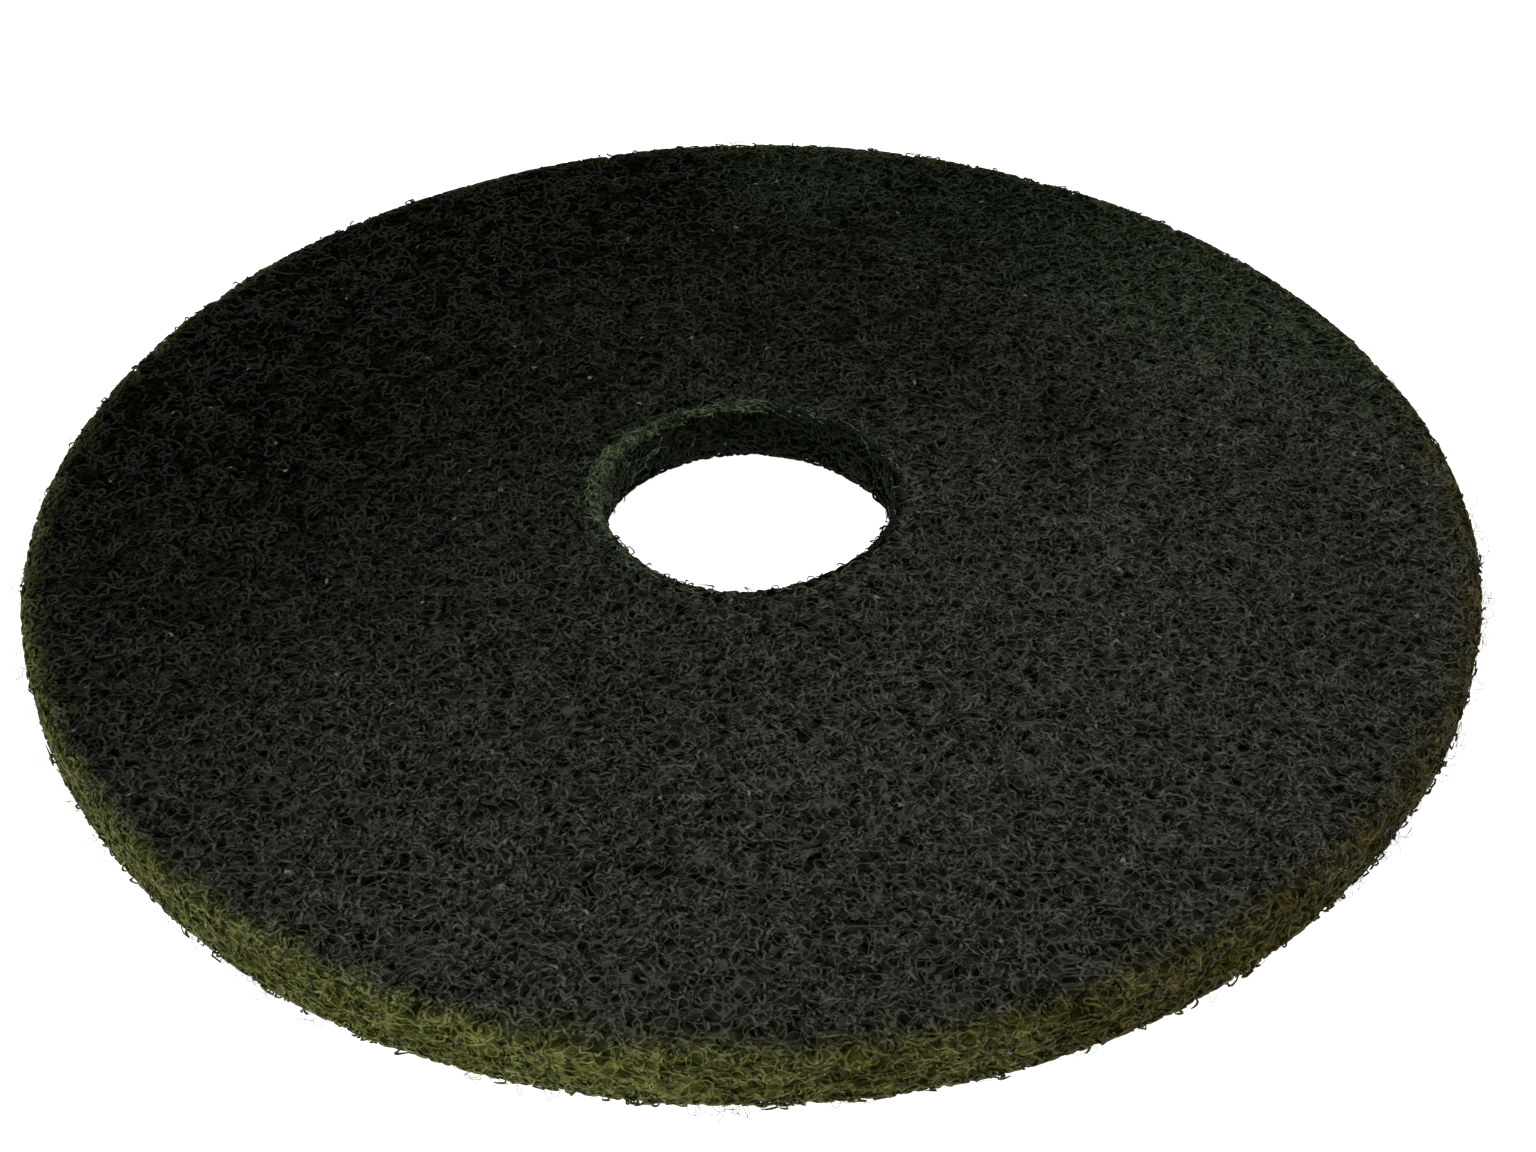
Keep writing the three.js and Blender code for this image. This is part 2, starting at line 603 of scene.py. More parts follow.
    def threads(self, loop_size: float, fineness: float) -> NodeSocket:
        """Draws curly threads that cross, where soft noises pass through their middle value.

        Args:
            loop_size: Size of one loop of a thread.
            fineness: Half the width of a thread, as a share of the noise's range.

        Returns:
            1 on a thread and 0 between threads.
        """
        threads = None
        for offset in self.thread_offsets:
            inputs = {0: self.place, 1: (offset, 2 * offset, 3 * offset)}
            moved = self.add("ShaderNodeVectorMath", inputs, operation="ADD")
            inputs = {"Vector": moved, "Scale": 1 / loop_size, "Detail": 0.0}
            noise = self.add("ShaderNodeTexNoise", inputs)
            off_middle = self.add("ShaderNodeMath", {0: noise, 1: NOISE_MIDDLE}, operation="SUBTRACT")
            distance = self.add("ShaderNodeMath", {0: off_middle}, operation="ABSOLUTE")
            inputs = {"Value": distance, "From Min": fineness, "From Max": 0.0}
            thread = self.add("ShaderNodeMapRange", inputs)
            if threads is None:
                threads = thread
            else:
                threads = self.add("ShaderNodeMath", {0: threads, 1: thread}, operation="MAXIMUM")
        return threads.outputs[0]

    def clumps(self, size: float, edge: float, detail: float) -> NodeSocket:
        """Soft blots of a size, from 0, dark, to 1, light, with finer noises added by detail."""
        inputs = {"Vector": self.place, "Scale": 1 / size, "Detail": detail}
        return self.spread(self.add("ShaderNodeTexNoise", inputs), edge)

    def shades(self, fine: NodeSocket) -> NodeSocket:
        """Draws the shade of the web: ridges where strands bunch up, over pores painted dark as shade,
        in clumps.

        Args:
            fine: The shade of single strands, of which a small share is mixed in.

        Returns:
            The shade at each place, from 0, dark, to 1, light.
        """
        # Painted shade: the pores between the ridges are dark for the shade that falls into the web.
        bunched = self.threads(self.ridge_size, self.ridge_fineness)
        inputs = {"Value": bunched, "From Min": self.ridge_low, "From Max": self.ridge_high}
        ridges = self.add("ShaderNodeMapRange", inputs)
        clumps = self.clumps(self.clump_size, self.clump_edge, self.clump_detail)
        both = self.add("ShaderNodeMix", {0: self.clump_share, 2: ridges, 3: clumps})
        return self.add("ShaderNodeMix", {0: self.fine_share, 2: both, 3: fine}).outputs[0]

    def strand_shades(self) -> NodeSocket:
        """Shade of the strands, darker over the pores of painted shade, which also differs from one
        strand to the next.
        """
        return self.shades(self.clumps(self.shade_size, self.shade_edge, self.shade_detail))


@dataclass(frozen=True)
class WebColours:
    """The colours of the web, with its top coat, whose thin and thick colours are also painted light and
    shade, with its dye bare, and with a painted shade for the hole's wall.
    """

    thin_coat_and_painted_light: ShadePair
    thick_coat_and_painted_shade: ShadePair
    dye_green: ShadePair
    dye_brown: ShadePair
    hole_wall_painted_shade: ShadePair
    green_tint: str = "daffda"
    ply_tint: str = "c8c8b5"

    @staticmethod
    def _laid_over(
        tree: NodeTree,
        colour: NodeSocket,
        *layers: tuple[NodeSocket, object, str],
    ) -> NodeSocket:
        """Lays colours over a first one, in order.

        Args:
            tree: The node tree of the material.
            colour: The colour below.
            layers: For each layer, where it lies, its colour, and how it blends.

        Returns:
            The colour at each place.
        """
        for factor, laid, blend_type in layers:
            inputs = {"Factor": factor, MIX_FIRST: colour, MIX_SECOND: laid}
            mix = add_node(tree, "ShaderNodeMix", inputs, data_type="RGBA", blend_type=blend_type)
            colour = mix.outputs[MIX_RESULT]
        return colour

    def over(self, patterns: WebPatterns, shade: NodeSocket) -> NodeSocket:
        """Lays the colours over the pad.

        Args:
            patterns: The patterns of the material.
            shade: The shade of the strands, from 0, dark, to 1, light.

        Returns:
            The colour at each place.
        """
        tree = patterns.tree
        # The thick coat's colour is also painted shade, and the thin coat's is also painted light, over
        # the coat's own tone.
        coat = self._laid_over(
            tree,
            self.thick_coat_and_painted_shade.mixed(tree, shade),
            (patterns.coat_thinness_and_painted_light(), self.thin_coat_and_painted_light.mixed(tree, shade), "MIX"),
            (patterns.greenness(), linear_colour(self.green_tint), "MULTIPLY"),
        )
        dye = self._laid_over(
            tree,
            self.dye_green.mixed(tree, shade),
            (patterns.brownness(), self.dye_brown.mixed(tree, shade), "MIX"),
            # The dark plies are the web's own layers. Their paler foot is painted bounce light.
            (patterns.plies_and_painted_bounce_light(), linear_colour(self.ply_tint), "MULTIPLY"),
        )
        return self._laid_over(
            tree,
            coat,
            (patterns.bareness(), dye, "MIX"),
            # The hole's wall is laid over in painted shade, a dark colour for the shade that falls in
            # the hole.
            (patterns.hole_wall_painted_shade_mask(), self.hole_wall_painted_shade.mixed(tree, shade), "MIX"),
        )


@dataclass(frozen=True)
class PlainColours:
    """One colour all over, in its two shades."""

    shades: ShadePair

    def over(self, patterns: WebPatterns, shade: NodeSocket) -> NodeSocket:
        """Gives the colour in the asked shade at each place."""
        return self.shades.mixed(patterns.tree, shade)


@dataclass(frozen=True)
class ResinCoatedNylon:
    """Crimped nylon strands, dyed through and sprayed with a dark phenolic resin.

    The cured resin gives the strands a dull skin. Its fine crimps scatter nearly all of the
    reflection, so the web looks matt, and glints are painted into the colour as pale spots here and
    there.
    """

    name: str
    form: PadForm
    colours: WebColours | PlainColours
    painted_glint: str = "70746a"
    painted_glint_spacing: float = 10 * MM
    painted_glint_radius: float = 0.95 * MM
    roughness: float = 0.65
    ior: float = 1.53
    gloss: float = 0.06

    def build(self) -> Material:
        """Makes the material from the colours, the shades of the strands and the painted glints.

        Returns:
            The material.
        """
        material, tree = new_material(self.name)
        patterns = WebPatterns(tree, self.form)
        colour = self.colours.over(patterns, patterns.strand_shades())
        # Painted highlight: pale spots laid into the base colour stand in for glints.
        inputs = {"Vector": patterns.place, "Scale": 1 / self.painted_glint_spacing}
        glint_cells = add_node(tree, "ShaderNodeTexVoronoi", inputs).outputs["Distance"]
        edge = self.painted_glint_radius / self.painted_glint_spacing
        inputs = {"Value": glint_cells, "From Min": edge, "From Max": edge / 2}
        glint_mask = add_node(tree, "ShaderNodeMapRange", inputs)
        inputs = {"Factor": glint_mask, MIX_FIRST: colour, MIX_SECOND: linear_colour(self.painted_glint)}
        with_painted_glints = add_node(tree, "ShaderNodeMix", inputs, data_type="RGBA").outputs[MIX_RESULT]
        inputs = {
            "Base Color": with_painted_glints,
            "Roughness": self.roughness,
            "IOR": self.ior,
            "Specular IOR Level": self.gloss,
        }
        shader = add_node(tree, "ShaderNodeBsdfPrincipled", inputs)
        add_node(tree, "ShaderNodeOutputMaterial", {"Surface": shader})
        return material


@dataclass(frozen=True)
class BondedWebCore:
    """The dense inside of the web, where strands cross and resin has pooled at the crossings.

    Light that enters a pore hardly comes out again, so the pores between its threads are painted black
    as painted shade.
    """

    name: str
    form: PadForm
    colours: WebColours
    roughness: float = 0.9
    ior: float = 1.53
    gloss: float = 0.0
    loop_size: float = 2.8 * MM
    fineness: float = 0.085
    relief: float = 0.5 * MM
    relief_strength: float = 0.8

    def build(self) -> Material:
        """Makes the material: curly threads over pores painted black as shade, raised by bump.

        Returns:
            The material.
        """
        material, tree = new_material(self.name)
        patterns = WebPatterns(tree, self.form)
        threads = patterns.threads(self.loop_size, self.fineness)
        inputs = {"Strength": self.relief_strength, "Distance": self.relief, "Height": threads}
        bump = add_node(tree, "ShaderNodeBump", inputs)
        inputs = {
            "Base Color": self.colours.over(patterns, patterns.shades(threads)),
            "Roughness": self.roughness,
            "IOR": self.ior,
            "Specular IOR Level": self.gloss,
            "Normal": bump,
        }
        shader = add_node(tree, "ShaderNodeBsdfPrincipled", inputs)
        add_node(tree, "ShaderNodeOutputMaterial", {"Surface": shader})
        return material


def mesh_piece(
    name: str,
    vertices: np.ndarray,
    faces: np.ndarray,
    material: Material,
    uv: np.ndarray | None = None,
) -> Object:
    """Makes a mesh object from arrays, smooth shaded.

    Args:
        name: Name of the piece.
        vertices: One row of x, y, z for each vertex.
        faces: One row of vertex indices for each face, with -1 in the last place of a triangle.
        material: The piece's material.
        uv: Optional flat place of each corner of each face, for a pattern drawn on the piece.

    Returns:
        The new object, linked to the scene.
    """
    corners = (faces >= 0).sum(axis=1)
    loops = faces[faces >= 0]
    mesh = bpy.data.meshes.new(name)
    mesh.vertices.add(len(vertices))
    mesh.vertices.foreach_set("co", vertices.astype(np.float32).ravel())
    mesh.loops.add(len(loops))
    mesh.loops.foreach_set("vertex_index", loops.astype(np.int32))
    mesh.polygons.add(len(faces))
    starts = np.concatenate([[0], np.cumsum(corners)[:-1]]).astype(np.int32)
    mesh.polygons.foreach_set("loop_start", starts)
    mesh.polygons.foreach_set("use_smooth", np.ones(len(faces), dtype=bool))
    mesh.update(calc_edges=True)
    if uv is not None:
        layer = mesh.uv_layers.new(name="OFBake")
        layer.data.foreach_set("uv", uv[faces >= 0].astype(np.float32).ravel())
    mesh.validate()
    mesh.materials.append(material)
    piece = bpy.data.objects.new(name, mesh)
    bpy.context.scene.collection.objects.link(piece)
    return piece


@dataclass(frozen=True)
class StrandSize:
    """Size and crimp of one kind of strand.

    A strand curls to and fro with a tightest radius of curl, over swing_length, drifts round to one
    side by drift and wobbles. It dips under others and rises again by weave round its depth, over
    weave_length. The ranges are shares by which one strand differs from the next.
    """

    depth: float
    length: float = 13.2 * MM
    width: float = 1.02 * MM
    step: float = 1.1 * MM
    curl: float = 1.35 * MM
    swing_length: float = 5.5 * MM
    swing_range: tuple[float, float] = (0.7, 1.4)
    drift: float = 0.5
    wobble: float = 0.12
    weave: float = 0.6 * MM
    weave_length: float = 4.5 * MM
    weave_range: tuple[float, float] = (0.7, 1.5)
    level_range: tuple[float, float] = (-0.4, 0.4)

    @property
    def points(self) -> int:
        """Number of points on a strand."""
        return round(self.length / self.step) + 1

    def headings(self, rng: np.random.Generator, first: np.ndarray) -> np.ndarray:
        """Draws the headings of crimped strands.

        Args:
            rng: The random stream.
            first: Each strand's first heading.

        Returns:
            Headings as strands by points.
        """
        along = np.arange(self.points) * self.step
        swing = rng.uniform(*self.swing_range, len(first))[:, None] * self.swing_length
        phase = rng.uniform(0, 2 * np.pi, len(first))[:, None]
        drift = rng.normal(0, self.drift, len(first))[:, None]
        curvature = (np.sin(2 * np.pi * along / swing + phase) + drift) / self.curl
        turns = curvature * self.step + rng.normal(0, self.wobble, (len(first), self.points))
        return first[:, None] + np.cumsum(turns, axis=1)

    def depths(self, rng: np.random.Generator, count: int) -> np.ndarray:
        """Draws how deep strands lie.

        Args:
            rng: The random stream.
            count: How many strands.

        Returns:
            Depths as strands by points.
        """
        along = np.arange(self.points) * self.step
        wave = rng.uniform(*self.weave_range, count)[:, None] * self.weave_length
        phase = rng.uniform(0, 2 * np.pi, count)[:, None]
        level = rng.uniform(*self.level_range, count)[:, None]
        depth = self.depth + self.weave * (np.sin(2 * np.pi * along / wave + phase) + level)
        return np.maximum(depth, self.width / 2)

    def paths(self, heading: np.ndarray) -> np.ndarray:
        """Walks strands along their headings on a flat sheet.

        Args:
            heading: Headings as strands by points.

        Returns:
            Flat places as strands by points by two, about the middle of each strand.
        """
        moves = np.stack([np.cos(heading), np.sin(heading)], axis=-1) * self.step
        path = np.cumsum(moves, axis=1)
        return path - path.mean(axis=1, keepdims=True)


@dataclass(frozen=True)
class StrandTubes:
    """Closed three-sided tubes along many paths, joined in one mesh.

    The points and the skin's normals there are given as strands by points by three. A tube grows
    from end_taper of its width at its end to the whole over the first few points.
    """

    points: np.ndarray
    normals: np.ndarray
    width: float
    sides: int = 3
    end_taper: float = 0.45
    taper_points: int = 2

    def vertices(self) -> np.ndarray:
        """Lays rings of corners round each path, thinner at the two ends.

        Returns:
            One row of x, y, z for each corner, none of them under the floor.
        """
        along = np.gradient(self.points, axis=1)
        along /= np.linalg.norm(along, axis=2, keepdims=True) + TINY
        side = np.cross(along, self.normals)
        side /= np.linalg.norm(side, axis=2, keepdims=True) + TINY
        up = np.cross(side, along)
        count = self.points.shape[1]
        from_end = np.minimum(np.arange(count), np.arange(count)[::-1])
        taper = self.end_taper + (1 - self.end_taper) * from_end / self.taper_points
        taper = np.clip(taper, 0, 1)
        radius = (self.width / 2 * taper)[None, :, None, None]
        turns = -math.pi / 2 + np.arange(self.sides) * (2 * math.pi / self.sides)
        ring = np.cos(turns)[:, None] * side[:, :, None, :] + np.sin(turns)[:, None] * up[:, :, None, :]
        corners = (self.points[:, :, None, :] + radius * ring).reshape(-1, 3)
        corners[:, 2] = np.maximum(corners[:, 2], 0)
        return corners

    def faces(self) -> np.ndarray:
        """Joins the rings with bands of quads, and closes each end with a triangle.

        Returns:
            One row of vertex indices for each face, with -1 in the last place of a triangle.
        """
        strands, count = self.points.shape[:2]
        sides = self.sides
        first = (np.arange(strands) * count * sides)[:, None, None]
        ring = (np.arange(count - 1) * sides)[None, :, None]
        corner = np.arange(sides)[None, None, :]
        following = (corner + 1) % sides
        here = first + ring + corner
        beside = first + ring + following
        bands = np.stack([here, here + sides, beside + sides, beside], axis=-1).reshape(-1, 4)
        start = first[:, 0, 0]
        last = start + (count - 1) * sides
        none = np.full(strands, -1)
        start_caps = np.stack([start, start + 1, start + 2, none], axis=-1)
        end_caps = np.stack([last + 2, last + 1, last, none], axis=-1)
        return np.concatenate([bands, start_caps, end_caps])

    def piece(self, name: str, flat_place: np.ndarray, material: Material) -> Object:
        """Makes one mesh piece of all the tubes.

        Args:
            name: Name of the piece.
            flat_place: Flat place of each point of each path, within the unit square.
            material: The strands' material.

        Returns:
            The new object.
        """
        faces = self.faces()
        uv = np.repeat(np.clip(flat_place, 0, 1).reshape(-1, 2), self.sides, axis=0)
        return mesh_piece(name, self.vertices(), faces, material, uv[faces])


@dataclass(kw_only=True)
class StrandPiece(ABC):
    """One mesh piece of many loose strands, drawn from its own seed."""

    name: str
    form: PadForm
    strands: int
    seed: int
    slot: str = CHARCOAL_SLOT

    @abstractmethod
    def draw(self, rng: np.random.Generator) -> tuple[StrandTubes, np.ndarray]:
        """Draws the strands' tubes, and the flat place of each of their points."""

    def build(self, material: Material) -> Object:
        """Makes the piece in a material."""
        tubes, flat_place = self.draw(np.random.default_rng(self.seed))
        return tubes.piece(self.name, flat_place, material)


@dataclass(kw_only=True)
class FaceWeb(StrandPiece):
    """Loose strands that lie over one face and run a little way round its edges."""

    face: Face
    size: StrandSize
    overhang: float = 3 * MM

    def draw(self, rng: np.random.Generator) -> tuple[StrandTubes, np.ndarray]:
        """Draws the strands on the face laid flat, and places them on the pad.

        Args:
            rng: The random stream.

        Returns:
            The tubes, and the flat place of each of their points.
        """
        form = self.form
        inner = form.radius(Edge.HOLE) + form.hole_rounding - self.overhang
        outer = form.radius(Edge.RIM) - form.rim_rounding + self.overhang
        radius = np.sqrt(rng.uniform(inner**2, outer**2, self.strands))
        angle = rng.uniform(0, 2 * np.pi, self.strands)
        heading = self.size.headings(rng, rng.uniform(0, 2 * np.pi, self.strands))
        middle = np.stack([radius * np.cos(angle), radius * np.sin(angle)], axis=-1)
        flat = middle[:, None] + self.size.paths(heading)
        reach = np.hypot(flat[..., 0], flat[..., 1])
        turn = np.arctan2(flat[..., 1], flat[..., 0])
        depth = self.size.depths(rng, self.strands)
        points, normals = form.place(reach, turn, depth, self.face)
        spread = 2 * (outer + self.size.length)
        return StrandTubes(points, normals, self.size.width), flat / spread + 0.5


@dataclass(kw_only=True)
class SideWeb(StrandPiece):
    """Strands that lie along a cut side, in the layers that the web was laid in.

    The band is the range of the strands' middles, as distances past the edge of the flat face. With
    a worn_angle the strands crowd round that angle. The flat margin keeps room for strands that
    pass the join of the side when it is rolled out.
    """

    edge: Edge
    size: StrandSize
    band: tuple[float, float]
    tilt: float = 0.45
    worn_angle: float | None = None
    crowding: float = 1.2
    flat_margin: float = 0.04

    def draw(self, rng: np.random.Generator) -> tuple[StrandTubes, np.ndarray]:
        """Draws the strands on the side rolled out flat, and places them on the pad.

        Args:
            rng: The random stream.

        Returns:
            The tubes, and the flat place of each of their points.
        """
        radius = self.form.radius(self.edge)
        if self.worn_angle is None:
            middle = rng.uniform(0, 2 * np.pi, self.strands)
        else:
            middle = rng.vonmises(self.worn_angle, self.crowding, self.strands)
        down = rng.uniform(*self.band, self.strands)
        first = rng.normal(0, self.tilt, self.strands) + np.pi * rng.integers(0, 2, self.strands)
        heading = self.size.headings(rng, first)
        heading -= heading.mean(axis=1, keepdims=True) - first[:, None]
        path = self.size.paths(heading)
        angle = middle[:, None] + path[..., 0] / radius
        past = down[:, None] + path[..., 1]
        depth = self.size.depths(rng, self.strands)
        points, normals = self.form.place(self.form.reach_past(self.edge, angle, past), angle, depth)
        round_share = self.flat_margin + (1 - 2 * self.flat_margin) * (angle / (2 * np.pi) % 1)
        room = self.size.length / 2
        down_share = (past - self.band[0] + room) / (self.band[1] - self.band[0] + 2 * room)
        flat_place = np.stack([round_share, down_share], axis=-1)
        return StrandTubes(points, normals, self.size.width), flat_place


@dataclass(kw_only=True)
class Fuzz(StrandPiece):
    """Loose ends that stand off a cut side, where the die has pulled single strands out.

    An end runs along the side by a share of its length, and stands off by stand_off times a height
    drawn from a gamma distribution, up to a cap. It comes back to the side by a share of its arch.
    Part of the ends stand in tufts.
    """

    edge: Edge
    band: tuple[float, float]
    length: float
    width: float
    stand_off: float
    step: float = 0.8 * MM
    root_depth: float = 0.7 * MM
    tufts: int = 70
    seen_tufts_degrees: tuple[float, ...] = ()
    in_tufts: float = 0.55
    tuft_spread: float = 2.5 * MM
    bend: float = 4.5
    run_range: tuple[float, float] = (0.3, 0.75)
    height_shape: float = 2.0
    height_scale: float = 0.5
    height_cap: float = 1.9
    return_range: tuple[float, float] = (0.5, 1.0)
    above_face: float = 0.9 * MM
    flat_radius: float = 0.48

    def draw(self, rng: np.random.Generator) -> tuple[StrandTubes, np.ndarray]:
        """Draws arched strands that leave the side and mostly come back to it.

        Args:
            rng: The random stream.

        Returns:
            The tubes, and the flat place of each of their points.
        """
        count = self.strands
        radius = self.form.radius(self.edge)
        tuft_angles = rng.uniform(0, 2 * np.pi, self.tufts)
        tuft_angles[: len(self.seen_tufts_degrees)] = np.radians(self.seen_tufts_degrees)
        tufted = rng.choice(tuft_angles, count) + rng.normal(0, self.tuft_spread / radius, count)
        free = rng.uniform(0, 2 * np.pi, count)
        angle = np.where(rng.uniform(size=count) < self.in_tufts, tufted, free)[:, None]
        down = rng.uniform(*self.band, count)[:, None]
        heading = rng.uniform(0, 2 * np.pi, count)[:, None]
        bend = rng.normal(0, self.bend, count)[:, None]
        share = np.linspace(0, 1, round(self.length / self.step) + 1)[None, :]
        run = self.length * rng.uniform(*self.run_range, count)[:, None] * share
        sideways = run * np.cos(heading + bend * share)
        past = down + run * np.sin(heading + bend * share)
        height = rng.gamma(self.height_shape, self.height_scale, count)
        height = self.stand_off * np.minimum(height, self.height_cap)[:, None]
        comes_back = rng.uniform(*self.return_range, count)[:, None]
        arch = height * np.sin(np.pi * share * comes_back)
        turn = angle + sideways / radius
        reach = self.form.reach_past(self.edge, turn, past)
        points, normals = self.form.place(reach, turn, self.root_depth - arch)
        points[..., 2] = np.clip(points[..., 2], 0, self.form.thickness + self.above_face)
        flat_place = np.stack([np.cos(turn), np.sin(turn)], axis=-1) * self.flat_radius + 0.5
        return StrandTubes(points, normals, self.width), flat_place


@dataclass
class WebCore:
    """The dense inside of the pad, a closed ring whose skin lies just under the loose strands."""

    name: str
    form: PadForm
    face_depth: float = 1.3 * MM
    side_depth: float = 0.75 * MM
    unevenness: float = 0.4
    noise_cap: float = 1.6
    wavelengths: tuple[float, float] = (4 * MM, 9 * MM)
    row: float = 2.5 * MM
    columns: int = 440
    seed: int = 11

    def build(self, material: Material) -> Object:
        """Carries the section once round, with an uneven skin.

        Args:
            material: The core's material.

        Returns:
            The new object.
        """
        form = self.form
        angle = np.linspace(0, 2 * np.pi, self.columns, endpoint=False)[None, :]
        rim_start, hole_start = form.shoulder(Edge.RIM, angle), form.shoulder(Edge.HOLE, angle)
        middle = (rim_start + hole_start) / 2
        half_face = float((rim_start - middle).mean())
        rim_side, hole_side = form.side_length(Edge.RIM), form.side_length(Edge.HOLE)
        rim_rows = round((2 * half_face + rim_side) / self.row)
        hole_rows = round((2 * half_face + hole_side) / self.row)
        outward = np.linspace(0, 1, rim_rows, endpoint=False)[:, None]
        inward = np.linspace(1, 0, hole_rows, endpoint=False)[:, None]
        rim_reach = middle + outward * (2 * (rim_start - middle) + rim_side)
        hole_reach = middle - inward * (2 * (middle - hole_start) + hole_side)
        reach = np.concatenate([rim_reach, hole_reach])
        angles = np.broadcast_to(angle, reach.shape)
        skin, normals = form.place(reach, angles, np.zeros(reach.shape))
        lean = np.hypot(normals[..., 0], normals[..., 1])
        depth = self.face_depth + (self.side_depth - self.face_depth) * lean
        noise = SoftNoise(self.seed, self.wavelengths).at(skin)
        noise = np.clip(noise, -self.noise_cap, self.noise_cap)
        points, _ = form.place(reach, angles, depth * (1 + self.unevenness * noise))
        rows = len(reach)
        row, column = np.meshgrid(np.arange(rows), np.arange(self.columns), indexing="ij")
        corner_rows = np.stack([row, row + 1, row + 1, row], axis=-1).reshape(-1, 4)
        corner_columns = np.stack([column, column, column + 1, column + 1], axis=-1).reshape(-1, 4)
        faces = corner_rows % rows * self.columns + corner_columns % self.columns
        uv = np.stack([corner_columns / self.columns, corner_rows / rows], axis=-1)
        return mesh_piece(self.name, points.reshape(-1, 3), faces, material, uv)


